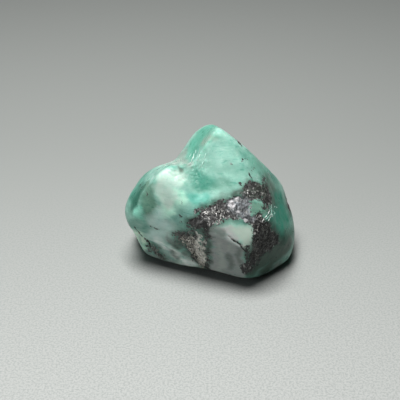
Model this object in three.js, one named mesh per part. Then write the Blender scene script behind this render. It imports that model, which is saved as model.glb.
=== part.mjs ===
// Raw emerald: a tumbled lump of green beryl in milky quartz and dark mica schist,
// one solid grown and worn as a single piece, resting on the flat worn on its underside.
// Millimetres, +Z up, -Y towards the viewer. The origin is the middle of the underside's
// level: x = 0 and y = 0 are the middle of the stone's width and depth, z = 0 its rest.
import * as THREE from 'three';
import { mergeVertices } from 'three/addons/utils/BufferGeometryUtils.js';

const fineness = 16;       // cuts along each edge of the icosahedron the surface starts from
const weldReach = 1e-5;    // corners of the starting ball closer than this are one corner
const edgeHardness = 30;   // higher gives tighter edges between the worn flats
const middleHeight = 9.4;  // mm from the rest plane up to the middle the flats are measured from;
                           // less than the underside's distance, so its face is worn truly flat

// The worn flats. Each faces azimuth az (0 = towards the viewer, 90 = to the right, degrees)
// and elevation el (degrees), and lies `away` mm from the middle of the stone.
const flats = [
  { name: 'front low left',   az: -24,  el: -16, away: 8.1 },
  { name: 'front low right',  az: 42,   el: -10, away: 11.3 },
  { name: 'front belly',      az: -24,  el: 8,   away: 8.7 },
  { name: 'front upper',      az: 2,    el: 34,  away: 8.4 },
  { name: 'front left',       az: -62,  el: 16,  away: 11.7 },
  { name: 'right face',       az: 81,   el: 23,  away: 9.5 },
  { name: 'right low',        az: 84,   el: -15, away: 14.0 },
  { name: 'right slope',      az: 119,  el: 41,  away: 9.7 },
  { name: 'right shoulder',   az: 68,   el: 40,  away: 9.9 },
  { name: 'left end',         az: -101, el: 4,   away: 13.0 },
  { name: 'left upper',       az: -93,  el: 36,  away: 10.7 },
  { name: 'left low',         az: -73,  el: -23, away: 12.7 },
  { name: 'left slope',       az: -113, el: 51,  away: 10.2 },
  { name: 'back',             az: 178,  el: 0,   away: 10.0 },
  { name: 'back left',        az: -140, el: 12,  away: 11.0 },
  { name: 'back right',       az: 138,  el: 0,   away: 12.0 },
  { name: 'back upper',       az: 170,  el: 56,  away: 12.7 },
  // the heels: the worn rim under the sides, which leaves a small foot to rest on
  { name: 'front heel',       az: -22,  el: -61, away: 9.9 },
  { name: 'right heel',       az: 42,   el: -62, away: 12.8 },
  { name: 'far right heel',   az: 86,   el: -61, away: 14.1 },
  { name: 'left heel',        az: -72,  el: -64, away: 12.2 },
  { name: 'back heel',        az: 178,  el: -62, away: 12.1 },
  { name: 'underside',        az: 0,    el: -90, away: 9.7 },
];

// The hollows: the notch where a chip broke out of the top left, the shallow valley that runs
// down the front from it, and the crease under the left end. Each is `depth` mm deep and fades
// over `along` and `across` degrees; `turn` is the lie of its long axis, in degrees up from level.
const hollows = [
  { name: 'notch',       az: -118, el: 58,  depth: 3.2, along: 45, across: 20, turn: 60 },
  { name: 'valley',      az: -38,  el: 57,  depth: 1.2, along: 30, across: 12, turn: -47 },
  { name: 'left crease', az: -87,  el: -19, depth: 1.2, along: 30, across: 5.5, turn: -36 },
];
const hollowFade = 0.5;    // a hollow fades out where the surface turns past this cosine from it

const stoneColour = '#6fae97';
const stoneRoughness = 0.35;

const rad = THREE.MathUtils.degToRad;

// Unit vector facing azimuth az and elevation el.
function facing(az, el) {
  const a = rad(az);
  const e = rad(el);
  return new THREE.Vector3(Math.sin(a) * Math.cos(e), -Math.cos(a) * Math.cos(e), Math.sin(e));
}

// Unit vectors of a hollow's long and short axes, square to the way it faces.
function hollowAxes(towards, turn) {
  const level = new THREE.Vector3(0, 0, 1).cross(towards).normalize();
  const upward = towards.clone().cross(level);
  const long = level.clone().multiplyScalar(Math.cos(rad(turn)));
  long.addScaledVector(upward, Math.sin(rad(turn)));
  const short = level.clone().multiplyScalar(-Math.sin(rad(turn)));
  short.addScaledVector(upward, Math.cos(rad(turn)));
  return { long, short };
}

const flatNormals = flats.map((flat) => facing(flat.az, flat.el));
const hollowFrames = hollows.map((hollow) => {
  const towards = facing(hollow.az, hollow.el);
  return { towards, ...hollowAxes(towards, hollow.turn) };
});

// Distance in mm from the middle to the surface along unit vector d:
//   (sum of (d . n / away)^k)^(-1/k) over the flats d faces, a polyhedron with softened edges,
//   less depth * exp(-(p / sin along)^2 - (q / sin across)^2) for each hollow, faded out
//   smoothly on the side turned away from it.
function surfaceDistance(d) {
  let sum = 0;
  flatNormals.forEach((normal, i) => {
    const lean = d.dot(normal) / flats[i].away;
    if (lean > 0) sum += lean ** edgeHardness;
  });
  let distance = sum ** (-1 / edgeHardness);
  hollowFrames.forEach((frame, i) => {
    const p = d.dot(frame.long) / Math.sin(rad(hollows[i].along));
    const q = d.dot(frame.short) / Math.sin(rad(hollows[i].across));
    const fade = THREE.MathUtils.smoothstep(d.dot(frame.towards), 0, hollowFade);
    distance -= hollows[i].depth * Math.exp(-p * p - q * q) * fade;
  });
  return distance;
}

// The surface: every corner of the icosahedron grid moved out to its distance, the underside
// brought level at the rest plane, and the whole set centred over the origin.
function makeStone() {
  const ball = new THREE.IcosahedronGeometry(1, fineness);
  ball.deleteAttribute('normal');
  ball.deleteAttribute('uv');
  const stone = mergeVertices(ball, weldReach);
  const corners = stone.getAttribute('position');
  const corner = new THREE.Vector3();
  for (let i = 0; i < corners.count; i += 1) {
    corner.fromBufferAttribute(corners, i).normalize();
    corner.multiplyScalar(surfaceDistance(corner));
    corners.setXYZ(i, corner.x, corner.y, Math.max(corner.z + middleHeight, 0));
  }
  stone.computeBoundingBox();
  const middle = stone.boundingBox.getCenter(new THREE.Vector3());
  stone.translate(-middle.x, -middle.y, -stone.boundingBox.min.z);
  stone.computeVertexNormals();
  return stone;
}

const stoneMaterial = new THREE.MeshStandardMaterial({
  color: stoneColour,
  roughness: stoneRoughness,
  metalness: 0,
});

const stoneMesh = new THREE.Mesh(makeStone(), stoneMaterial);
stoneMesh.name = 'raw_emerald';

const group = new THREE.Group();
group.name = 'raw_emerald_crystal';
group.add(stoneMesh);

export default group;
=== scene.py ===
import math

import bpy
import numpy as np
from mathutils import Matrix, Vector


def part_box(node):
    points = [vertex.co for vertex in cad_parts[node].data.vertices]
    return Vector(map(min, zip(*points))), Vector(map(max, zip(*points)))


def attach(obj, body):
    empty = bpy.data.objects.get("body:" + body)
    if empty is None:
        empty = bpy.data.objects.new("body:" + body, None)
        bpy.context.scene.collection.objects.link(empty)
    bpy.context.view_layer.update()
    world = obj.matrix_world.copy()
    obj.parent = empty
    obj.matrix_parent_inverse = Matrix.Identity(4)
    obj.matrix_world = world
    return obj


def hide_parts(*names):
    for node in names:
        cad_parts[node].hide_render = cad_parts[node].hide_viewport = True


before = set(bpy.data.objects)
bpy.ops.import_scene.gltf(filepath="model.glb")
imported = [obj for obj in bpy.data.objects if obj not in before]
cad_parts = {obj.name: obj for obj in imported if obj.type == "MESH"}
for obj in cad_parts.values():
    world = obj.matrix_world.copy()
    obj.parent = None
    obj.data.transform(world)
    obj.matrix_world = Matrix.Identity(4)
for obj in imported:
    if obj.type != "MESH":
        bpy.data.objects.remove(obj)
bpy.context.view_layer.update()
mm = 0.001   # the tables below are in millimetres, Blender's scene is in metres
print("frame loaded")


# small tools that the pieces share

def facing(azimuth, elevation):
    # unit vector: azimuth 0 is towards the viewer (-Y), 90 to the right (+X); elevation is up
    a, e = math.radians(azimuth), math.radians(elevation)
    return np.array([math.sin(a) * math.cos(e), -math.cos(a) * math.cos(e), math.sin(e)])


def smooth(low, high, x):
    # 0 below low, 1 above high, 3t^2 - 2t^3 in between
    t = np.clip((x - low) / (high - low), 0.0, 1.0)
    return t * t * (3.0 - 2.0 * t)


hashPrimes = dict(cell=(73856093, 19349663, 83492791), seed=2654435761,
                  mix=((15, 2246822519), (13, 3266489917)), lastShift=16)


def hashed(cell, seed):
    # a repeatable number from 0 to 1 for each row of three whole numbers: the row and the seed
    # times large primes, joined bit by bit, then shifted and multiplied twice to mix the bits
    mask = 0xFFFFFFFF
    a, b, c = hashPrimes["cell"]
    h = (cell[..., 0] * a) ^ (cell[..., 1] * b) ^ (cell[..., 2] * c)
    h = (h ^ (seed * hashPrimes["seed"])) & mask
    for shift, prime in hashPrimes["mix"]:
        h = ((h ^ (h >> shift)) * prime) & mask
    return (h ^ (h >> hashPrimes["lastShift"])) / float(mask)


octaveShift = 31.7        # lattice cells from one octave to the next, so that they never line up


def clouds(points, size, seed, octaves=1):
    # hashed lattice values blended over each cube of `size` mm by 3t^2 - 2t^3, then the same
    # again at half the size and half the strength for each further octave; from -1 to 1
    total, strength, reach = np.zeros(len(points)), 1.0, 0.0
    for octave in range(octaves):
        at = points * (2.0 ** octave / size) + octaveShift * octave
        base = np.floor(at).astype(np.int64)
        t = at - base
        t = t * t * (3.0 - 2.0 * t)
        for corner in np.ndindex(2, 2, 2):
            share = np.prod(np.where(np.array(corner) == 1, t, 1.0 - t), axis=1)
            total += strength * share * (2.0 * hashed(base + corner, seed + octave) - 1.0)
        reach += strength
        strength *= 0.5
    return total / reach


def warped(points, reach, size, seed):
    # the points pushed about by clouds of four octaves, up to `reach` mm along each axis
    push = [clouds(points, size, seed + 7 * axis, 4) for axis in range(3)]
    return points + reach * np.stack(push, axis=-1)


def grains(points, size, seed):
    # jittered-cell pattern: for each point the nearest of the 27 random centres around it.
    # Gives the offset to it in mm, a number of its own, and a unit vector of its own.
    at = points / size
    base = np.floor(at).astype(np.int64)
    best = np.full(len(points), 1e9)
    offset = np.zeros_like(points)
    chosen = np.zeros_like(base)
    for step in np.ndindex(3, 3, 3):
        cell = base + np.array(step) - 1
        centre = cell + np.stack([hashed(cell, seed + k) for k in (1, 2, 3)], axis=-1)
        away = at - centre
        far = (away ** 2).sum(axis=1)
        nearer = far < best
        best = np.where(nearer, far, best)
        offset = np.where(nearer[:, None], away, offset)
        chosen = np.where(nearer[:, None], cell, chosen)
    lean = np.stack([hashed(chosen, seed + k) for k in (5, 6, 7)], axis=-1) * 2.0 - 1.0
    lean /= np.linalg.norm(lean, axis=1, keepdims=True) + 1e-9
    return offset * size, hashed(chosen, seed + 9), lean


def linear(colour):
    # a "#rrggbb" colour as linear red, green and blue, by the usual screen curve
    part = np.array([int(colour[k:k + 2], 16) / 255.0 for k in (1, 3, 5)])
    return np.where(part <= 0.04045, part / 12.92, ((part + 0.055) / 1.055) ** 2.4)


# the stone's own shape

stoneShape = dict(
    cells=128,            # squares along each edge of the cube that the surface is spread from
    middleHeight=9.4,     # from the rest plane to the middle that the flats are measured from
    edgeHardness=30,      # higher is a tighter edge between two worn flats
    flats=dict(           # each: azimuth, elevation, distance from the middle
        frontLowLeft=(-24, -16, 8.1), frontLowRight=(42, -10, 11.3),
        frontBelly=(-24, 8, 8.7), frontUpper=(2, 34, 8.4), frontLeft=(-62, 16, 11.7),
        rightFace=(81, 23, 9.5), rightLow=(84, -15, 14.0), rightSlope=(119, 41, 9.7),
        rightShoulder=(68, 40, 9.9), leftEnd=(-101, 4, 13.0), leftUpper=(-93, 36, 10.7),
        leftLow=(-73, -23, 12.7), leftSlope=(-113, 51, 10.2), back=(178, 0, 10.0),
        backLeft=(-140, 12, 11.0), backRight=(138, 0, 12.0), backUpper=(170, 56, 12.7),
        frontHeel=(-22, -61, 9.9), rightHeel=(42, -62, 12.8), farRightHeel=(86, -61, 14.1),
        leftHeel=(-72, -64, 12.2), backHeel=(178, -62, 12.1), underside=(0, -90, 9.7)),
    hollowFade=0.5,       # a hollow fades out where the surface turns past this cosine from it
    hollows=dict(         # each: azimuth, elevation, depth, degrees along, degrees across, turn
        notch=(-118, 58, 3.2, 45, 20, 60), valley=(-38, 57, 1.2, 30, 12, -47),
        leftCrease=(-87, -19, 1.2, 30, 5.5, -36)),
    waves=((5.0, 0.22), (1.9, 0.08), (0.7, 0.025)),  # size and height of the worn ripples
    borderWarp=(1.0, 1.8),                # how far the minerals' borders wander, over what size
    borderRag=(0.25, 0.5),                # the same for their finer raggedness
    islandGap=0.1,                        # the schist runs this far into the green patch's edge
    schistEdge=(-0.1, 0.3),               # depths in the schist where its wear starts and is full
    schistSink=0.08,                      # the mica schist wore deeper than the beryl
    schistGrains=((0.6, 0.2), (0.34, 0.2)),   # size of its grains, and how far they tip
    notchMiddle=(-62, 62), notchEdge=(0.9, 0.97),   # the broken faces: cosines from their middle
    notchGrains=((0.9, 0.12), (0.45, 0.12)), notchDrift=(0.3, 2.0),
    grooveEdge=(-0.12, 0.1), grooveRag=0.4, grooveDepth=0.14,
)
seeds = dict(ripple=3, drift=8, border=11, rag=12, tint=21, wobble=31, schist=40, stain=51, notch=60)


def cubeBall(cells):
    # a cube's six sides as equal-angle grids pushed out to a ball, joined along the cube's edges:
    # side coordinate = tan(angle) for angles evenly from -45 to 45 degrees, then made unit length
    t = np.tan(np.linspace(-math.pi / 4, math.pi / 4, cells + 1))
    a, b = np.meshgrid(t, t, indexing="ij")
    one = np.ones_like(a)
    sides = [(one, a, b), (-one, b, a), (b, one, a), (a, -one, b), (a, b, one), (b, a, -one)]
    grid = np.arange((cells + 1) ** 2).reshape(cells + 1, cells + 1)
    square = np.stack([grid[:-1, :-1], grid[1:, :-1], grid[1:, 1:], grid[:-1, 1:]], axis=-1)
    points = np.concatenate([np.stack(side, axis=-1).reshape(-1, 3) for side in sides])
    squares = np.concatenate([square.reshape(-1, 4) + k * grid.size for k in range(6)])
    points /= np.linalg.norm(points, axis=1, keepdims=True)
    _, first, same = np.unique(np.round(points, 6), axis=0, return_index=True, return_inverse=True)
    points, squares = points[first], same.reshape(-1)[squares]
    p, q, r = points[squares[:, 0]], points[squares[:, 1]], points[squares[:, 2]]
    inward = (np.cross(q - p, r - p) * p).sum(axis=1) < 0
    squares[inward] = squares[inward][:, ::-1]
    return points, squares


def stoneDistance(d):
    # (sum of (d . n / away)^k)^(-1/k) over the flats that d faces, less for each hollow
    # depth * exp(-(p / sin along)^2 - (q / sin across)^2), faded out on its far side
    k = stoneShape["edgeHardness"]
    total = np.zeros(len(d))
    for azimuth, elevation, away in stoneShape["flats"].values():
        total += np.maximum(d @ facing(azimuth, elevation) / away, 0.0) ** k
    distance = total ** (-1.0 / k)
    for azimuth, elevation, depth, along, across, turn in stoneShape["hollows"].values():
        towards = facing(azimuth, elevation)
        level = np.cross([0, 0, 1], towards)
        level /= np.linalg.norm(level)
        upward = np.cross(towards, level)
        c, s = math.cos(math.radians(turn)), math.sin(math.radians(turn))
        p = d @ (c * level + s * upward) / math.sin(math.radians(along))
        q = d @ (c * upward - s * level) / math.sin(math.radians(across))
        fade = smooth(0.0, stoneShape["hollowFade"], d @ towards)
        distance -= depth * np.exp(-p * p - q * q) * fade
    return distance


def outwardNormals(points, squares):
    # each corner's normal is the sum of its squares' (diagonal x diagonal), made unit length
    cross = np.cross(points[squares[:, 2]] - points[squares[:, 0]],
                     points[squares[:, 3]] - points[squares[:, 1]])
    normals = np.zeros_like(points)
    for k in range(4):
        for axis in range(3):
            normals[:, axis] += np.bincount(squares[:, k], cross[:, axis], len(points))
    return normals / (np.linalg.norm(normals, axis=1, keepdims=True) + 1e-12)


# where the minerals lie. Each side is a flat sheet that faces (azimuth, elevation); the strokes on
# it are (across, up, radius, across, up, radius), round-ended and tapering, in mm from the middle.

sides = dict(front=(0, 30), low=(0, -25), back=(180, 25), left=(-95, 20), right=(85, 25),
             top=(20, 80))
# mm: the depth where there is no stroke, and how much depth the surface's lean allows
strokeLimit = dict(outside=-9.0, lean=12.0, slack=0.2)

minerals = dict(
    mica=dict(            # the dark mica schist
        front=[(-2.7, -2.9, 0.7, -0.9, -1.9, 1.4), (-0.9, -1.9, 1.4, 1.2, -0.8, 1.5),
               (1.2, -0.7, 1.5, 4.2, -0.3, 1.6), (5.1, 1.2, 0.9, 5.8, 2.0, 1.4),
               (5.8, 2.0, 1.4, 7.2, 1.8, 1.3), (7.6, 1.3, 0.9, 7.9, -0.5, 0.5),
               (4.6, -1.1, 0.9, 6.6, -2.3, 1.3), (6.8, -2.6, 1.3, 7.6, -4.9, 2.1),
               (7.3, -5.7, 1.4, 6.4, -7.5, 0.9), (6.1, -7.5, 0.9, 5.2, -9.6, 0.9),
               (-1.0, -3.1, 0.4, -0.9, -5.7, 0.3), (-0.9, -5.7, 0.3, -0.6, -10.3, 0.4),
               (5.2, -5.7, 0.25, 5.0, -9.1, 0.3)],
        back=[(-4.5, 1.4, 0.9, -3.5, -0.6, 1.9), (-3.5, -0.6, 1.9, 0.5, -1.4, 1.3),
              (0.5, -1.4, 1.3, 4.0, -4.4, 2), (4.0, -4.4, 2, 6.5, -7.1, 1.2)],
        right=[(6.5, -6.2, 0.7, 4.6, -7.4, 0.8)]),
    specks=dict(          # small dark specks and threads in the beryl
        front=[(-4.5, -1.6, 0.16, -4.3, -1.5, 0.12), (-4.35, -2.4, 0.1, -4.3, -2.5, 0.1),
               (6.0, 5.1, 0.1, 5.7, 4.5, 0.14), (5.7, 4.5, 0.14, 5.9, 4.0, 0.1),
               (3.2, 2.8, 0.16, 3.9, 2.7, 0.12), (2.8, 5.9, 0.1, 2.9, 5.8, 0.1),
               (4.6, 6.3, 0.05, 5.2, 6.4, 0.05), (-9.9, 1.9, 0.1, -9.7, 1.4, 0.12),
               (-10.7, 2.7, 0.12, -10.5, 2.9, 0.1), (7.7, 3.9, 0.14, 8.0, 2.9, 0.1),
               (-10.2, -5.2, 0.05, -9.3, -6.5, 0.2), (-9.3, -3.1, 0.08, -7.9, -3.4, 0.08),
               (-2.7, -0.8, 0.3, -2.2, -1.0, 0.3)],
        top=[(3.4, 2.1, 0.2, 3.6, 0.9, 0.3), (3.6, 0.9, 0.25, 4.0, 0.3, 0.15)]),
    island=dict(          # the green patch inside the schist
        front=[(6.1, -0.4, 0.8, 6.9, -0.5, 0.8)]),
    brown=dict(           # loose speckled cream and brown schist
        front=[(-5.1, -4.7, 0.4, -3.2, -5.3, 1.0), (-3.2, -5.3, 1.0, -1.9, -7.3, 1.1),
               (-1.9, -7.3, 1.0, -1.1, -9.2, 0.6), (-3.3, -3.6, 0.3, -2.6, -4.6, 0.5),
               (-9.6, -6.3, 0.2, -8.8, -6.9, 0.42), (-8.8, -6.9, 0.42, -7.3, -7.6, 0.4)],
        back=[(4.5, 0.9, 0.5, 6.0, -1.1, 1)]),
    horn=dict(            # the pale tusk of beryl
        front=[(2.5, -3.6, 0.2, 4.6, -4.0, 1.0), (4.6, -4.0, 1.0, 5.1, -5.6, 0.5),
               (5.1, -5.6, 0.5, 5.2, -6.4, 0.1)]),
    groove=dict(          # dark seams between them, cut in as shallow grooves; their near-black tint is partly the seams' own colour, partly painted shade in the grooves
        front=[(2.0, -4.6, 0.03, 3.1, -4.9, 0.10), (3.1, -4.9, 0.10, 4.2, -5.9, 0.14),
               (4.2, -5.9, 0.14, 5.2, -6.8, 0.12), (-11.6, -3.2, 0.06, -10.2, -4.9, 0.10),
               (-10.2, -4.9, 0.10, -8.9, -6.6, 0.12)]),
)

# the tints of the beryl and quartz, later ones over earlier ones: the tint, how strong it is, and
# the depths in mm where it starts and is full
plainBeryl = "#7fac9e"
berylZones = dict(
    hem=dict(tint="#8f9a94", share=0.9, edge=(-0.8, 0.8),
             low=[(-9.5, -6.0, 1.0, 9.5, -6.4, 1.2)]),
    olive=dict(tint="#567c6b", share=0.95, edge=(-0.6, 0.5),
               front=[(-9.2, 2.5, 0.6, -9.3, -0.6, 0.9)], left=[(3.5, 1.1, 0.8, 3.0, -1.9, 1)]),
    leftClear=dict(tint="#1d5748", share=0.95, edge=(-0.9, 0.8),
                   front=[(-10.7, 2.4, 0.6, -11.4, -0.4, 0.9)],
                   left=[(1.6, -1.9, 1.0, 1.2, 0.1, 0.8)]),
    leftSide=dict(tint="#3c7e6d", share=0.8, edge=(-1.8, 1.5),
                  left=[(0.0, -1.9, 2, -3.0, 0.1, 1.6)], back=[(7.5, -2.6, 1.5, 8.5, 0.4, 1.2)]),
    leftPale=dict(tint="#84cbb6", share=0.9, edge=(-0.5, 0.7),
                  front=[(-10.6, -1.2, 0.8, -9.9, -2.0, 0.6)]),
    belly=dict(tint="#cce7e0", share=0.9, edge=(-0.8, 1.0),
               front=[(-7.6, -2.6, 1.5, -6.4, -3.4, 1.2), (-8.8, -4.4, 0.8, -6.6, -4.6, 0.9)]),
    lowPale=dict(tint="#e6efea", share=0.9, edge=(-0.6, 0.8),
                 front=[(-8.0, -5.6, 0.7, -5.4, -7.6, 0.9), (-4.6, -8.2, 0.7, -2.6, -9.0, 0.8)]),
    lowDull=dict(tint="#738078", share=0.9, edge=(-0.5, 0.6),
                 front=[(-6.5, -4.9, 0.4, -4.9, -5.9, 0.9), (-6.2, -7.1, 0.4, -5.0, -8.2, 0.6),
                        (-3.6, -7.3, 0.5, -2.8, -6.8, 0.4)]),
    facet=dict(tint="#d4f4dd", share=0.95, edge=(-0.8, 0.8),
               front=[(-11.0, -4.6, 0.6, -10.3, -6.6, 0.7)],
               left=[(1.3, -9.6, 1.0, 0.2, -8.6, 1.0)]),
    midShade=dict(tint="#74a297", share=0.9, edge=(-0.8, 0.8),
                  front=[(-4.8, -2.2, 0.9, -3.0, -1.0, 0.7), (-3.9, 2.4, 0.2, -3.7, 1.4, 0.2)]),
    teal=dict(tint="#488776", share=0.95, edge=(-0.9, 0.8),
              front=[(-2.2, 4.4, 0.7, -1.5, 2.6, 1.0), (-1.6, 3.8, 0.6, 0.3, 3.4, 0.5)],
              back=[(-8.0, -2.6, 1.6, -9.0, 0.4, 1.4)], right=[(0.5, 1.6, 2.0, 3.5, 0.6, 2.0)]),
    aqua=dict(tint="#62a899", share=0.95, edge=(-0.7, 0.6),
              front=[(-3.3, 0.9, 0.6, -1.4, 0.6, 0.8)]),
    peak=dict(tint="#629a88", share=0.9, edge=(-0.8, 0.6),
              front=[(-1.2, 11.0, 0.9, 0.9, 10.6, 0.7), (-1.6, 10.6, 0.7, -2.6, 8.8, 0.6),
                     (-0.8, 10.2, 0.8, -0.9, 8.6, 0.6)]),
    peakDull=dict(tint="#7f9889", share=0.9, edge=(-0.4, 0.5),
                  front=[(-1.2, 9.2, 0.5, 0.2, 9.4, 0.6)]),
    underMint=dict(tint="#5f8f80", share=0.9, edge=(-0.6, 0.6),
                   front=[(0.8, 2.9, 0.6, 2.2, 3.1, 0.7)]),
    ridge=dict(tint="#6aa08f", share=0.9, edge=(-0.7, 0.6),
               front=[(3.2, 9.7, 0.4, 6.4, 6.6, 0.8), (6.4, 6.6, 0.8, 8.0, 4.2, 0.8)]),
    mint=dict(tint="#90beb0", share=0.95, edge=(-1.0, 1.0),
              front=[(0.3, 8.0, 1.1, 2.0, 7.2, 1.3), (2.0, 7.2, 1.3, 4.2, 6.2, 1.0),
                     (2.4, 4.4, 0.4, 4.6, 4.0, 0.7)],
              top=[(1.8, 2.0, 1.0, 3.6, 0.8, 1.6)], back=[(-3.0, 3.4, 1.2, -1.6, 1.6, 1.0)]),
    mintLow=dict(tint="#7aa799", share=0.9, edge=(-0.8, 0.8),
                 front=[(2.4, 5.4, 0.7, 4.8, 4.9, 1.0)]),
    milkLow=dict(tint="#b0dfcb", share=0.9, edge=(-0.6, 0.7),
                 front=[(-6.9, 0.9, 1.3, -6.2, -0.6, 1.2), (-5.0, 1.2, 0.9, -4.6, 0.2, 0.7)]),
    milk=dict(tint="#b4cec2", share=1.0, edge=(-0.4, 0.7),
              front=[(-7.2, 4.0, 1.3, -5.4, 3.6, 1.7), (-6.9, 2.6, 1.8, -6.5, 0.9, 1.6)]),
    milkBack=dict(tint="#9cc2b4", share=0.8, edge=(-1.6, 1.4),
                  back=[(5.6, 2.6, 1.0, 7.2, 2.2, 1.1)]),
    chalk=dict(tint="#7c8f86", share=0.95, edge=(-0.5, 0.5),
               front=[(-6.4, 6.0, 0.4, -4.6, 6.9, 0.8), (-4.6, 6.9, 0.8, -3.3, 6.0, 0.6)],
               left=[(-4.6, 3.4, 0.8, -5.4, 3.6, 0.9)]),
    wall=dict(tint="#589a87", share=0.95, edge=(-0.8, 0.8),
              left=[(-4.2, 9.4, 1.0, -3.2, 5.4, 0.9), (-5.6, 8.6, 2.2, -5.2, 6.4, 1.4)]),
    wallAqua=dict(tint="#5fa392", share=0.9, edge=(-0.5, 0.5),
                  left=[(-1.6, 6.8, 0.5, -2.0, 4.4, 0.6)]),
    chip=dict(tint="#566b60", share=0.9, edge=(-0.3, 0.2),
              front=[(-4.9, 5.7, 0.15, -4.6, 5.2, 0.2)]),
    shoulder=dict(tint="#6a998b", share=0.9, edge=(-0.4, 0.4),
                  front=[(-9.4, 4.6, 0.3, -6.8, 5.4, 0.3)]),
    deepSide=dict(tint="#1f7a66", share=0.9, edge=(-1.8, 1.6),
                  right=[(-3.5, -3.6, 2.0, 1.0, -4.6, 2.4), (-1.0, -6.8, 1.2, 2.5, -7.4, 1.2)]),
    deep=dict(tint="#0a7b65", share=0.97, edge=(-0.5, 0.8),
              front=[(9.6, 1.6, 0.6, 9.4, -1.8, 1.2), (9.8, -2.6, 1.5, 10.8, -4.2, 1.4),
                     (10.5, 1.2, 0.7, 11.0, -2.0, 1.2)],
              right=[(-3.7, -3.0, 1.2, -3.0, -5.6, 1.4)]),
    deepLow=dict(tint="#08503d", share=0.95, edge=(-0.8, 0.8),
                 front=[(11.7, -4.6, 1.1, 10.4, -6.4, 1.1)]),
    rightGrey=dict(tint="#5f7d70", share=0.9, edge=(-0.5, 0.6),
                   front=[(8.4, 3.6, 0.6, 9.4, 2.2, 0.6), (8.6, 2.0, 0.5, 9.0, 0.6, 0.4)]),
    corner=dict(tint="#46594f", share=0.95, edge=(-0.9, 0.7),
                front=[(9.6, -7.0, 1.2, 7.6, -8.3, 1.2), (7.6, -8.3, 1.2, 6.0, -9.4, 0.8)],
                low=[(10.1, -3.7, 1.3, 8.0, -4.5, 1.0)],
                right=[(-3.7, -10.1, 1.2, -1.6, -9.4, 1.0)]),
    island=dict(tint="#648879", share=1.0, edge=(-0.4, 0.3),
                front=[(6.1, -0.4, 0.9, 6.9, -0.5, 0.9)]),
    quartz=dict(tint="#969d9a", share=1.0, edge=(-0.3, 0.3),
                front=[(0.8, -4.7, 1.5, 2.6, -4.5, 1.6), (1.0, -7.3, 1.7, 3.0, -7.1, 1.7),
                       (1.0, -8.8, 1.8, 3.6, -8.8, 1.6), (1.2, -10.3, 1.9, 3.2, -10.7, 1.7)]),
    quartzPale=dict(tint="#a9b2ab", share=0.7, edge=(-0.4, 0.4),
                    front=[(0.9, -5.6, 0.3, 1.2, -9.4, 0.5), (2.4, -6.2, 0.2, 2.3, -7.2, 0.2)]),
    quartzDark=dict(tint="#6a746f", share=0.85, edge=(-0.5, 0.4),
                    front=[(2.3, -7.6, 0.4, 2.8, -9.0, 0.5), (3.8, -6.8, 0.3, 4.4, -8.6, 0.4),
                           (0.2, -3.5, 0.7, 1.5, -3.9, 0.5)]),
    halo=dict(tint="#46564f", share=0.9, edge=(-0.5, 0.5),
              front=[(3.5, 1.5, 0.4, 5.0, 2.1, 0.5)]),
    seamShade=dict(tint="#4b5751", share=0.9, edge=(-0.4, 0.4),
                   front=[(-1.2, -3.8, 0.5, -0.7, -6.0, 0.45),
                          (-0.7, -6.0, 0.45, -0.5, -9.8, 0.4)]),
)

calmZones = dict(names=("quartz", "milk", "belly"), edge=(-0.6, 0.4), share=0.6)   # fewer clouds here

# the same for the schist
plainSchist = "#474847"
schistZones = dict(
    arm=dict(tint="#1a1b1a", share=0.9, edge=(-0.5, 0.4),
             front=[(6.8, -2.6, 1.4, 7.6, -4.9, 2.2), (7.3, -5.7, 1.5, 6.0, -8.5, 1.1)]),
    black=dict(tint="#242525", share=0.3, edge=(-0.6, 0.5),
               front=[(-2.6, -2.6, 0.6, -0.4, -1.6, 1.0), (-0.4, -1.6, 1.0, 1.4, -1.4, 0.7)]),
    wingLeft=dict(tint="#666867", share=0.85, edge=(-0.5, 0.4),
                  front=[(-1.7, -2.5, 0.5, -0.4, -2.2, 0.6)]),
    patch=dict(tint="#474f48", share=0.9, edge=(-0.6, 0.4),
               front=[(5.0, 1.6, 0.8, 7.0, 2.0, 1.2)]),
    purple=dict(tint="#81888c", share=0.95, edge=(-0.5, 0.5),
                front=[(3.4, -0.2, 0.9, 4.8, -0.2, 1.2), (4.5, -1.4, 0.8, 5.7, -1.9, 0.6)],
                back=[(-3.5, -0.6, 0.9, 0.0, -1.4, 0.7)]),
    pebbles=dict(tint="#bcbcbe", share=0.9, edge=(-0.1, 0.3),
                 front=[(3.0, 0.0, 0.35, 3.1, -0.3, 0.3), (4.0, 0.6, 0.3, 4.3, 0.5, 0.2),
                        (4.7, -2.2, 0.4, 5.1, -2.3, 0.3), (3.8, -1.0, 0.2, 4.1, -1.1, 0.2)]),
    brown=dict(tint="#8c8e85", share=1.0, edge=(-0.5, 0.2),
               front=[(-4.9, -4.9, 0.6, -3.2, -5.4, 0.8), (-3.2, -5.4, 0.8, -1.7, -7.6, 0.8),
                      (-1.7, -7.6, 0.8, -1.0, -9.2, 0.5)],
               back=[(4.5, 0.9, 0.5, 6.0, -1.1, 1.0)]),
    brownDark=dict(tint="#4a4b47", share=0.9, edge=(-0.4, 0.4),
                   front=[(-5.0, -4.6, 0.4, -4.0, -5.0, 0.4), (-2.7, -4.6, 0.15, -2.3, -5.4, 0.2),
                          (-3.2, -6.4, 0.2, -2.6, -7.6, 0.3)]),
    crease=dict(tint="#6f746c", share=0.95, edge=(-0.4, 0.2),
                front=[(-9.6, -6.3, 0.4, -7.3, -7.6, 0.6)]),
    cream=dict(tint="#e8e7de", share=0.95, edge=(-0.3, 0.2),
               front=[(-2.4, -5.6, 0.3, -1.8, -6.6, 0.5), (-1.8, -7.0, 0.5, -1.4, -8.2, 0.5),
                      (-2.1, -4.2, 0.25, -1.6, -5.2, 0.3)]),
    seam=dict(tint="#1b1c1b", share=0.95, edge=(-0.2, 0.2),
              front=[(-1.0, -3.0, 0.4, -0.75, -6.0, 0.35), (-0.75, -6.0, 0.35, -0.5, -10.0, 0.4)]),
)


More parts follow.
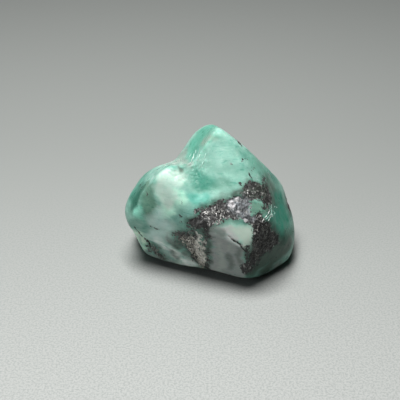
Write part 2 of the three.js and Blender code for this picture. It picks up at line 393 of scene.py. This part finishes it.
# how far the tints' borders wander and over what size, the same for the finer wobble in them, and
# how much that is squashed along each axis, so that it runs in level streaks
tintBorders = dict(warp=(0.9, 2.0), wobble=(0.5, 1.1), squash=(0.6, 0.6, 1.7))
stain = dict(             # the dark rim in the beryl beside the schist; depths and sizes in mm
    tint="#3f544a", share=0.8, reach=1.4, full=0.2, besideBrown=0.2, uneven=(0.7, 1.3),
    clean=("quartz", "facet"), cleanEdge=(0.3, -0.3), islandMargin=0.3)


def mineralDepth(points, normals, places):
    # how far inside a mineral's strokes a point lies, in mm: the largest of radius - distance
    # over the strokes, and never more than lean * cosine + slack, where the cosine is between the
    # surface's normal and the sheet's direction
    depth = np.full(len(points), strokeLimit["outside"])
    for side, (azimuth, elevation) in sides.items():
        towards = facing(azimuth, elevation)
        level = facing(azimuth + 90, 0)
        middle = points - [0, 0, stoneShape["middleHeight"]]
        sheet = np.stack([middle @ level, middle @ np.cross(towards, level)], axis=-1)
        here = np.full(len(points), strokeLimit["outside"])
        for a0, u0, r0, a1, u1, r1 in places.get(side, ()):
            start, run = np.array([a0, u0]), np.array([a1 - a0, u1 - u0])
            t = np.clip((sheet - start) @ run / (run @ run), 0.0, 1.0)
            far = np.linalg.norm(sheet - start - t[:, None] * run, axis=1)
            here = np.maximum(here, r0 + (r1 - r0) * t - far)
        allowed = strokeLimit["lean"] * (normals @ towards) + strokeLimit["slack"]
        depth = np.maximum(depth, np.minimum(here, allowed))
    return depth


def solidBox():
    # the CAD solid's lowest and highest corners, in mm
    return [np.array(corner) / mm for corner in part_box("raw_emerald")]


def tippedGrains(points, rows, seed):
    # each grain is a small plane through its centre, tipped its own way: tip * offset . lean
    move = np.zeros(len(points))
    for k, (size, tip) in enumerate(rows):
        offset, _, lean = grains(points, size, seed + k)
        move += tip * (offset * lean).sum(axis=1)
    return move


def carveStone():
    # the worn shape moved in or out along its normal by ripples, by tipped grains where the
    # schist and the broken notch are, and by the seams; then brought into the CAD solid's box
    shape = stoneShape
    ball, squares = cubeBall(shape["cells"])
    points = ball * stoneDistance(ball)[:, None]
    points[:, 2] = np.maximum(points[:, 2] + shape["middleHeight"], 0.0)
    low, high = points.min(axis=0), points.max(axis=0)
    points -= [(low[0] + high[0]) / 2, (low[1] + high[1]) / 2, low[2]]
    normals = outwardNormals(points, squares)
    pushed = warped(points, *shape["borderWarp"], seeds["border"])
    depth = {name: mineralDepth(pushed, normals, places) for name, places in minerals.items()}
    reach, size = shape["borderRag"]
    ragged = reach * clouds(points, size, seeds["rag"], 2)
    depth["mica"] = np.minimum(depth["mica"], shape["islandGap"] - depth["island"])
    depth["specks"] += ragged

    move = sum(height * clouds(points, size, seeds["ripple"] + k, 2)
               for k, (size, height) in enumerate(shape["waves"]))
    schist = smooth(*shape["schistEdge"], np.maximum(depth["mica"], depth["brown"]) + ragged)
    move -= shape["schistSink"] * schist
    move += schist * tippedGrains(points, shape["schistGrains"], seeds["schist"])
    broken = smooth(*shape["notchEdge"], ball @ facing(*shape["notchMiddle"])) * (1.0 - schist)
    reach, size = shape["notchDrift"]
    drifted = points + clouds(points, size, seeds["drift"])[:, None] * reach
    move += broken * tippedGrains(drifted, shape["notchGrains"], seeds["notch"])
    grooved = depth["groove"] + shape["grooveRag"] * ragged
    move -= shape["grooveDepth"] * smooth(*shape["grooveEdge"], grooved)

    points = points + normals * move[:, None]
    points[:, 2] = np.maximum(points[:, 2], 0.0)
    low, high = points.min(axis=0), points.max(axis=0)
    boxLow, boxHigh = solidBox()
    points = boxLow + (points - low) * (boxHigh - boxLow) / (high - low)
    return points, squares, normals, depth


def layTints(points, normals, plain, zones):
    # the plain tint, then each zone's tint laid over it by how deep inside its strokes the point
    # is: share * smoothstep(depth + wobble), between the depths where it starts and is full
    pushed = warped(points, *tintBorders["warp"], seeds["tint"])
    reach, size = tintBorders["wobble"]
    wobble = reach * clouds(points * tintBorders["squash"], size, seeds["wobble"], 4)
    tint = np.tile(linear(plain), (len(points), 1))
    for zone in zones.values():
        low, high = zone["edge"]
        weight = zone["share"] * smooth(low, high, mineralDepth(pushed, normals, zone) + wobble)
        tint = tint * (1.0 - weight[:, None]) + linear(zone["tint"]) * weight[:, None]
    return tint


def stainBeside(tint, points, normals, depth):
    # the beryl goes dark within a millimetre or so of the schist, by a smoothstep of the distance
    # to it made uneven by clouds; the quartz, the lower left facet, the tusk and the green patch
    # stay clean
    reach, size = stain["uneven"]
    rock = np.maximum(depth["mica"], depth["brown"] - stain["besideBrown"])
    rock = rock + reach * clouds(points, size, seeds["stain"], 3)
    clean = np.maximum(depth["horn"], depth["island"] + stain["islandMargin"])
    for zone in stain["clean"]:
        clean = np.maximum(clean, mineralDepth(points, normals, berylZones[zone]))
    weight = smooth(-stain["reach"], stain["full"], rock) * smooth(*stain["cleanEdge"], clean)
    weight = stain["share"] * weight[:, None]
    return tint * (1.0 - weight) + linear(stain["tint"]) * weight


def calmness(points, normals):
    # 1 well inside the calm zones and 0 outside them: a smoothstep of the largest of their depths
    inside = [mineralDepth(points, normals, berylZones[name]) for name in calmZones["names"]]
    return smooth(*calmZones["edge"], np.max(inside, axis=0))


# meshes and what their corners carry

def meshOf(name, points, faces):
    # corners, given in mm and stored in metres, and four-sided faces put straight into a new mesh
    mesh = bpy.data.meshes.new(name)
    mesh.vertices.add(len(points))
    mesh.vertices.foreach_set("co", (points * mm).astype(np.float32).ravel())
    mesh.loops.add(faces.size)
    mesh.loops.foreach_set("vertex_index", faces.astype(np.int32).ravel())
    mesh.polygons.add(len(faces))
    starts = np.arange(0, faces.size, faces.shape[1], dtype=np.int32)
    mesh.polygons.foreach_set("loop_start", starts)
    mesh.update(calc_edges=True)
    piece = bpy.data.objects.new(name, mesh)
    bpy.context.scene.collection.objects.link(piece)
    return piece


def keepNumber(piece, name, values):
    # one number for each corner, which the material reads by name
    layer = piece.data.attributes.new(name, "FLOAT", "POINT")
    layer.data.foreach_set("value", values.astype(np.float32))


def keepColour(piece, name, values):
    # one linear colour for each corner, with its alpha at 1
    layer = piece.data.attributes.new(name, "FLOAT_COLOR", "POINT")
    rgba = np.concatenate([values, np.ones((len(values), 1))], axis=1)
    layer.data.foreach_set("color", rgba.astype(np.float32).ravel())


# node tools: each adds one node and gives back its output

def addNode(tree, kind, inputs=(), **settings):
    # an input that is another node's output is linked; any other value is set on the socket
    node = tree.nodes.new(kind)
    for name, value in settings.items():
        setattr(node, name, value)
    for name, value in dict(inputs).items():
        if isinstance(value, bpy.types.NodeSocket):
            tree.links.new(value, node.inputs[name])
        else:
            node.inputs[name].default_value = value
    return node


def sums(tree, operation, a, b=0.0):
    # the named operation on two numbers
    return addNode(tree, "ShaderNodeMath", {0: a, 1: b}, operation=operation).outputs[0]


def ramp(tree, value, low, high, least=0.0, most=1.0):
    # least below low, most above high, a smooth step between
    node = addNode(tree, "ShaderNodeMapRange", {
        "Value": value, "From Min": low, "From Max": high, "To Min": least, "To Max": most},
        interpolation_type="SMOOTHSTEP")
    return node.outputs["Result"]


def blend(tree, share, a, b, mode="MIX"):
    # colour b laid over colour a by the share; 0, 6 and 7 are the node's share and colour sockets
    node = addNode(tree, "ShaderNodeMix", data_type="RGBA", blend_type=mode)
    for slot, value in ((0, share), (6, a), (7, b)):
        if isinstance(value, str):
            value = (*linear(value), 1.0)
        if isinstance(value, bpy.types.NodeSocket):
            tree.links.new(value, node.inputs[slot])
        else:
            node.inputs[slot].default_value = value
    return node.outputs[2]


def noise(tree, where, size, detail=3.0, rough=0.5, twist=0.0):
    # cloudy noise from 0 to 1; size is in mm
    return addNode(tree, "ShaderNodeTexNoise", {
        "Vector": where, "Scale": 1.0 / (size * mm), "Detail": detail, "Roughness": rough,
        "Distortion": twist}).outputs["Fac"]


def cellsAt(tree, where, size):
    # rounded cells of about `size` mm, each with a random colour of its own
    return addNode(tree, "ShaderNodeTexVoronoi", {"Vector": where, "Scale": 1.0 / (size * mm)})


def attribute(tree, name):
    # what the piece's corners carry under this name
    return addNode(tree, "ShaderNodeAttribute", attribute_name=name)


def stretched(tree, where, turn, size):
    # the place turned by degrees about x, y and z, then scaled along each
    node = addNode(tree, "ShaderNodeMapping", {
        "Vector": where, "Rotation": [math.radians(a) for a in turn], "Scale": size})
    return node.outputs["Vector"]


def channels(tree, colour):
    # a colour's separate red, green and blue
    return addNode(tree, "ShaderNodeSeparateColor", {"Color": colour}).outputs


# sizes are in mm; a pattern is its size, detail, roughness and twist; a range is the values where
# it starts and is full, then the least and most that it gives

stoneFinish = dict(
    # the fine raggedness of every border: noise plus small cells, brought to about zero
    rag=dict(size=0.45, detail=4.0, rough=0.6, crumbs=0.24, crumbShare=0.5, middle=0.75),
    edges=dict(           # share of the ragged pattern, then the depths where it starts and is full
        mica=(1.0, -0.05, 0.12), specks=(0.6, -0.05, 0.1), brown=(1.6, -0.1, 0.1),
        groove=(0.2, -0.12, 0.06), horn=(0.0, -0.5, 0.5)),
)
berylFinish = dict(
    ior=1.58, shine=0.1, gloss=(0.26, 0.46), glossPattern=(1.2, 5.0, 0.6), glossRange=(0.3, 0.75),
    bumpPattern=(0.5, 5.0, 0.6), bumpStrength=0.25, bumpHeight=0.05,      # the waxy wear
    soak=0.5, soakDepth=0.9, soakTint=(0.5, 1.0, 0.8),    # light scattered below the surface
    # the seam tint is partly the seams' own dark colour, partly painted shade in their grooves
    hornTint="#95a69b", seamAndGrooveShadeTint="#22241f",
    streakTurn=(0, 24, 12), streakStretch=(0.5, 1.2, 2.6),
    patterns=dict(
        cloud=(2.4, 6.0, 0.62, 0.4), streak=(1.1, 5.0, 0.65, 0.6), dots=(0.8, 5.0, 0.7),
        frost=(0.6, 6.0, 0.75)),
    clouds=(              # pattern, where it starts and is full, strength, tint, how laid on
        ("cloud", 0.5, 0.72, 1.0, (1.22, 1.12, 1.14, 1.0), "MULTIPLY"),
        ("cloud", 0.5, 0.3, 1.0, (0.66, 0.82, 0.8, 1.0), "MULTIPLY"),
        ("streak", 0.54, 0.68, 1.0, (0.6, 0.8, 0.77, 1.0), "MULTIPLY"),
        ("streak", 0.46, 0.32, 1.0, (1.3, 1.15, 1.18, 1.0), "MULTIPLY"),
        ("dots", 0.66, 0.74, 1.0, "#2e3a33", "MIX")),
    mottle=(              # the same, laid on the calm zones too
        ("frost", 0.56, 0.7, 0.5, "#5d6d65", "SCREEN"),
        ("frost", 0.44, 0.3, 0.8, (0.66, 0.82, 0.8, 1.0), "MULTIPLY")),
)
schistFinish = dict(
    ior=1.6, shine=0.35, gloss=(0.25, 0.7),
    grainSize=0.2, grainTurn=(20, 35, 0), grainStretch=(1.0, 1.0, 0.45), grainTip=0.6,
    patchPattern=(0.7, 4.0, 0.65),
    shade="#141414", shadeGrain=0.3, shadeRange=(0.8, 0.55, 0.0, 0.85),
    shadeByPaleness=(0.12, 0.5, 1.0, 0.0),    # pale schist isn't shaded
    spark="#8d8f8b", sparkRange=(1.38, 1.5, 0.0, 0.85),
)


def within(tree, name, ragged):
    # 0 outside a mineral and 1 inside it, by its depth plus its share of the ragged pattern
    share, start, full = stoneFinish["edges"][name]
    depth = attribute(tree, name).outputs["Fac"]
    return ramp(tree, sums(tree, "ADD", depth, sums(tree, "MULTIPLY", ragged, share)), start, full)


def overlay(tree, colour, patterns, layers):
    # each layer's tint laid over the colour by a smooth step of its pattern
    for pattern, start, full, strength, tint, mode in layers:
        share = ramp(tree, patterns[pattern], start, full, 0.0, strength)
        colour = blend(tree, share, colour, tint, mode)
    return colour


def berylSurface(tree, where, ragged):
    # beryl and quartz: the zone tint, clouded, streaked and mottled, over a cloudy inside
    look = berylFinish
    places = dict.fromkeys(look["patterns"], where)
    places["streak"] = stretched(tree, where, look["streakTurn"], look["streakStretch"])
    patterns = {name: noise(tree, places[name], *row) for name, row in look["patterns"].items()}
    tint = attribute(tree, "tint").outputs["Color"]
    colour = overlay(tree, tint, patterns, look["clouds"])
    calm = sums(tree, "MULTIPLY", attribute(tree, "calm").outputs["Fac"], calmZones["share"])
    colour = overlay(tree, blend(tree, calm, colour, tint), patterns, look["mottle"])
    colour = blend(tree, within(tree, "horn", ragged), colour, look["hornTint"])
    # the seams darkened: partly their own colour, partly painted shade in the grooves
    colour = blend(tree, within(tree, "groove", ragged), colour, look["seamAndGrooveShadeTint"])
    gloss = noise(tree, where, *look["glossPattern"])
    bump = addNode(tree, "ShaderNodeBump", {
        "Height": noise(tree, where, *look["bumpPattern"]), "Strength": look["bumpStrength"],
        "Distance": look["bumpHeight"] * mm})
    return addNode(tree, "ShaderNodeBsdfPrincipled", {
        "Base Color": colour, "Roughness": ramp(tree, gloss, *look["glossRange"], *look["gloss"]),
        "Normal": bump.outputs["Normal"], "IOR": look["ior"], "Specular IOR Level": look["shine"],
        "Subsurface Weight": look["soak"], "Subsurface Radius": look["soakTint"],
        "Subsurface Scale": look["soakDepth"] * mm}).outputs[0]


def schistSurface(tree, where):
    # schist: the rock's tint, darker and paler grain by grain; each grain's normal is the
    # surface's plus tip * (its random colour - 0.5), made unit length
    look = schistFinish
    swirl = stretched(tree, where, look["grainTurn"], look["grainStretch"])
    grain = cellsAt(tree, swirl, look["grainSize"]).outputs["Color"]
    own = channels(tree, grain)
    patch = noise(tree, where, *look["patchPattern"])
    rock = attribute(tree, "rock").outputs["Color"]
    shade = sums(tree, "ADD", patch, sums(tree, "MULTIPLY", own[0], look["shadeGrain"]))
    shade = sums(tree, "MULTIPLY", ramp(tree, shade, *look["shadeRange"]),
                 ramp(tree, channels(tree, rock)[0], *look["shadeByPaleness"]))
    colour = blend(tree, shade, rock, look["shade"])
    spark = ramp(tree, sums(tree, "ADD", own[1], patch), *look["sparkRange"])
    colour = blend(tree, spark, colour, look["spark"])
    flat = addNode(tree, "ShaderNodeNewGeometry").outputs["Normal"]
    tipped = addNode(tree, "ShaderNodeVectorMath", {0: grain, 1: (0.5, 0.5, 0.5)},
                     operation="SUBTRACT").outputs[0]
    tipped = addNode(tree, "ShaderNodeVectorMath", {0: tipped, 1: [look["grainTip"]] * 3, 2: flat},
                     operation="MULTIPLY_ADD").outputs[0]
    tipped = addNode(tree, "ShaderNodeVectorMath", {0: tipped}, operation="NORMALIZE").outputs[0]
    return addNode(tree, "ShaderNodeBsdfPrincipled", {
        "Base Color": colour, "Roughness": ramp(tree, own[2], 0.0, 1.0, *look["gloss"]),
        "Normal": tipped, "IOR": look["ior"], "Specular IOR Level": look["shine"]}).outputs[0]


def stoneMaterial():
    # beryl, with schist where the stone is deep enough inside the mica, the specks or the brown
    material = bpy.data.materials.new("emeraldStone")
    material.use_nodes = True
    tree = material.node_tree
    tree.nodes.clear()
    where = addNode(tree, "ShaderNodeTexCoord").outputs["Object"]
    rag = stoneFinish["rag"]
    crumbs = channels(tree, cellsAt(tree, where, rag["crumbs"]).outputs["Color"])[0]
    ragged = sums(tree, "ADD", noise(tree, where, rag["size"], rag["detail"], rag["rough"]),
                  sums(tree, "MULTIPLY", crumbs, rag["crumbShare"]))
    ragged = sums(tree, "SUBTRACT", ragged, rag["middle"])
    rocky = within(tree, "brown", ragged)
    for name in ("mica", "specks"):
        rocky = sums(tree, "MAXIMUM", rocky, within(tree, name, ragged))
    both = addNode(tree, "ShaderNodeMixShader", {
        0: rocky, 1: berylSurface(tree, where, ragged), 2: schistSurface(tree, where)})
    addNode(tree, "ShaderNodeOutputMaterial", {"Surface": both.outputs[0]})
    return material


points, squares, normals, depth = carveStone()
stone = meshOf("emerald_stone", points, squares)
for name in stoneFinish["edges"]:
    keepNumber(stone, name, depth[name])
keepNumber(stone, "calm", calmness(points, normals))
tint = stainBeside(layTints(points, normals, plainBeryl, berylZones), points, normals, depth)
keepColour(stone, "tint", tint)
keepColour(stone, "rock", layTints(points, normals, plainSchist, schistZones))
stone.data.shade_smooth()
stone.data.materials.append(stoneMaterial())
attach(stone, "root")
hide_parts("raw_emerald")
print("stone made:", len(squares) * 2, "triangles")


# plates of mica standing out of the schist, and the thin cracks and chips in the beryl, whose
# near-white tints are partly painted glints of light.
# Each row: how many, shortest and longest in mm, width as a share of length, lean off the surface,
# degrees turned from the surface's line square to -Y and their spread, dullest and palest tint, and
# where, which is all of the mica if there is no place

micaFlakes = dict(
    thick=0.03, sunk=0.01,    # mm; sunk is how deep a plate is set in the stone
    widths=(0.6, 1.4),        # the least and most of the row's width
    seed=5, gloss=0.3, metal=0.3,
    rows=dict(
        spangles=(900, 0.07, 0.24, 0.35, 0.5, 0, 90, "#1c1c1c", "#888a87", None),
        crumbs=(420, 0.12, 0.42, 0.5, 0.5, 120, 50, "#8a857a", "#f8f5ec",
                dict(front=[(-4.1, -5.0, 0.5, -3.2, -5.4, 0.8), (-3.2, -5.4, 0.8, -1.9, -7.6, 0.7),
                            (-1.9, -7.6, 0.7, -1.4, -9.2, 0.4)])),
        meal=(170, 0.15, 0.4, 0.5, 0.5, 120, 50, "#d2cec2", "#ffffff",
              dict(front=[(-2.3, -5.6, 0.3, -1.7, -7.0, 0.5), (-1.7, -7.0, 0.5, -1.4, -8.4, 0.4)])),
        needles=(330, 0.25, 0.62, 0.12, 0.4, 80, 28, "#1d1c1b", "#96948e",
                 dict(front=[(6.6, -2.4, 1.1, 7.6, -5.0, 1.9), (7.2, -5.4, 1.2, 6.4, -7.3, 0.8)])),
        # near-white wisps on the dark schist: partly pale mica, partly painted glints of light
        wispsAndGlints=(36, 0.25, 0.75, 0.10, 0.4, 20, 60, "#d9d9d4", "#ffffff",
               dict(front=[(-0.9, -1.6, 0.7, 1.2, -1.6, 0.8)])),
    ),
)
# cracks, splinters and chips tinted up to white: partly real feather cracks and chips, partly painted
# glints and highlights on them
berylCracksAndGlints = dict(
    thick=0.03, sunk=0.0, widths=(0.6, 1.4), seed=8, gloss=0.15, metal=0.0,
    rows=dict(
        splintersAndGlints=(26, 0.2, 1.9, 0.06, 0.15, 100, 18, "#9fd0c0", "#ffffff",
                   dict(front=[(7.5, -2.2, 0.5, 9.2, -0.7, 0.7)])),
        notchChipsAndGlints=(12, 0.5, 1.6, 0.06, 0.12, -38, 9, "#bfe6d9", "#ffffff",
                    dict(front=[(-2.8, 7.4, 0.6, -1.0, 6.2, 0.7)])),
        rimChipsAndGlints=(60, 0.2, 0.7, 0.12, 0.5, 20, 40, "#b7cfc2", "#ffffff",
                  dict(front=[(-7.0, 5.7, 0.5, -3.2, 6.9, 0.8)])),
    ),
)


def scatterPlates(look, points, normals, schist):
    # thin boxes on chosen corners of the stone: place + a * long/2 * x + b * wide/2 * y
    # + c * thick/2 * z, where a, b and c are -1 or 1; z leans at random off the surface, x is
    # cos(angle) * side + sin(angle) * side x z, where side is the line square to -Y and z
    draw = np.random.default_rng(look["seed"])
    corner = np.array([(a, b, c) for c in (-1, 1) for b in (-1, 1) for a in (-1, 1)]) / 2.0
    face = np.array([(0, 2, 3, 1), (4, 5, 7, 6), (0, 1, 5, 4), (2, 6, 7, 3), (0, 4, 6, 2),
                     (1, 3, 7, 5)])
    plates, tints = [], []
    for count, least, most, narrow, lean, lie, spread, dull, pale, places in look["rows"].values():
        inside = schist > 0.0 if places is None else mineralDepth(points, normals, places) > 0.0
        chosen = draw.choice(np.flatnonzero(inside), count)
        z = normals[chosen] + lean * draw.uniform(-1.0, 1.0, (count, 3))
        z /= np.linalg.norm(z, axis=1, keepdims=True)
        angle = np.radians(lie + spread * draw.uniform(-1.0, 1.0, count))[:, None]
        side = np.cross(facing(0, 0), z)
        side /= np.linalg.norm(side, axis=1, keepdims=True) + 1e-9
        x = np.cos(angle) * side + np.sin(angle) * np.cross(side, z)
        x /= np.linalg.norm(x, axis=1, keepdims=True) + 1e-9
        y = np.cross(z, x)
        long = (least + (most - least) * draw.random(count) ** 2)[:, None]
        wide = long * narrow * draw.uniform(*look["widths"], (count, 1))
        place = points[chosen] - look["sunk"] * normals[chosen]
        plates.append(place[:, None] + corner[None, :, :1] * (x * long)[:, None]
                      + corner[None, :, 1:2] * (y * wide)[:, None]
                      + corner[None, :, 2:] * (z * look["thick"])[:, None])
        share = draw.random(count)[:, None] ** 2
        tints.append(linear(dull) * (1.0 - share) + linear(pale) * share)
    plates, tints = np.concatenate(plates), np.concatenate(tints)
    faces = (face[None] + 8 * np.arange(len(plates))[:, None, None]).reshape(-1, 4)
    return np.clip(plates.reshape(-1, 3), *solidBox()), faces, np.repeat(tints, 8, axis=0)


def plateMaterial(name, look):
    # the plates' own tints, with the piece's gloss and metal
    material = bpy.data.materials.new(name)
    material.use_nodes = True
    surface = material.node_tree.nodes["Principled BSDF"]
    material.node_tree.links.new(attribute(material.node_tree, "tint").outputs["Color"],
                                 surface.inputs["Base Color"])
    surface.inputs["Roughness"].default_value = look["gloss"]
    surface.inputs["Metallic"].default_value = look["metal"]
    return material


# the palest plates in both pieces are partly painted glints of light
for name, look in (("mica_flakes", micaFlakes), ("beryl_cracks_and_glints", berylCracksAndGlints)):
    plates, plateFaces, plateTints = scatterPlates(look, points, normals, depth["mica"])
    piece = meshOf(name, plates, plateFaces)
    keepColour(piece, "tint", plateTints)
    piece.data.materials.append(plateMaterial(name, look))
    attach(piece, "root")
    print(name, "made:", len(plateFaces) * 2, "triangles")


# the floor, the lights and the camera

studio = dict(            # lengths in mm
    # floorNear to floorFar, from nearY to farY, is painted falloff of the light over the floor
    floorHalf=3000.0, floorNear="#a1a5a3", floorFar="#848886", nearY=-60.0, farY=50.0,
    floorGloss=0.62,
    gritTint="#858b88", gritPattern=(0.3, 2.0, 0.8), gritRange=(0.42, 0.62, 0.0, 0.8),
    aim=(-1.71, 0.72, 9.75), elevation=30.0, distance=152.0, lens=90.0, sensor=36.0,
    seen=(10.0, 20000.0),     # nearest and farthest that the camera sees
    air="#cbcccd", airStrength=0.022,
    lamps=dict(           # place, aimed at, width, watts, colour
        overhead=((-27, -16, 229), (0, 0, 8), 105, 1.08, "#fffcfb"),
        front=((-200, -160, 130), (0, 0, 8), 120, 0.075, "#fbf8ff")),
)


def makeFloor():
    # a flat square, darker from nearY to farY as painted falloff of the light over the floor, with
    # fine grit
    half = studio["floorHalf"]
    corners = np.array([(-half, -half, 0), (half, -half, 0), (half, half, 0), (-half, half, 0)])
    floor = meshOf("floor", corners, np.array([[0, 1, 2, 3]]))
    material = bpy.data.materials.new("paleFloor")
    material.use_nodes = True
    tree = material.node_tree
    where = addNode(tree, "ShaderNodeTexCoord").outputs["Object"]
    depthways = addNode(tree, "ShaderNodeSeparateXYZ", {"Vector": where}).outputs["Y"]
    # painted falloff of light: the floor's tint darkens from nearY to farY
    share = ramp(tree, depthways, studio["nearY"] * mm, studio["farY"] * mm)
    colour = blend(tree, share, studio["floorNear"], studio["floorFar"])
    grit = ramp(tree, noise(tree, where, *studio["gritPattern"]), *studio["gritRange"])
    surface = tree.nodes["Principled BSDF"]
    tree.links.new(blend(tree, grit, colour, studio["gritTint"]), surface.inputs["Base Color"])
    surface.inputs["Roughness"].default_value = studio["floorGloss"]
    floor.data.materials.append(material)


def makeLamp(name, place, target, width, watts, colour):
    # a square soft lamp turned so that it shines from its place to its target
    light = bpy.data.lights.new(name, "AREA")
    light.size, light.energy, light.color = width * mm, watts, linear(colour)
    lamp = bpy.data.objects.new(name, light)
    bpy.context.scene.collection.objects.link(lamp)
    lamp.location = Vector(place) * mm
    lamp.rotation_euler = (Vector(target) - Vector(place)).to_track_quat("-Z", "Y").to_euler()


def makeCamera():
    # the camera stands `distance` from its aim, up by its elevation on the -Y side
    back = Vector(facing(0, studio["elevation"]))
    camera = bpy.data.objects.new("camera", bpy.data.cameras.new("camera"))
    bpy.context.scene.collection.objects.link(camera)
    camera.data.lens, camera.data.sensor_width = studio["lens"], studio["sensor"]
    camera.data.clip_start, camera.data.clip_end = (end * mm for end in studio["seen"])
    camera.location = (Vector(studio["aim"]) + back * studio["distance"]) * mm
    camera.rotation_euler = back.to_track_quat("Z", "Y").to_euler()
    bpy.context.scene.camera = camera


def fillAir():
    # a faint even light from everywhere
    world = bpy.data.worlds.new("air")
    world.use_nodes = True
    air = world.node_tree.nodes["Background"].inputs
    air["Color"].default_value = (*linear(studio["air"]), 1.0)
    air["Strength"].default_value = studio["airStrength"]
    bpy.context.scene.world = world


makeFloor()
for name, row in studio["lamps"].items():
    makeLamp(name, *row)
makeCamera()
fillAir()
bpy.context.scene.view_settings.view_transform = "Standard"
print("studio set")
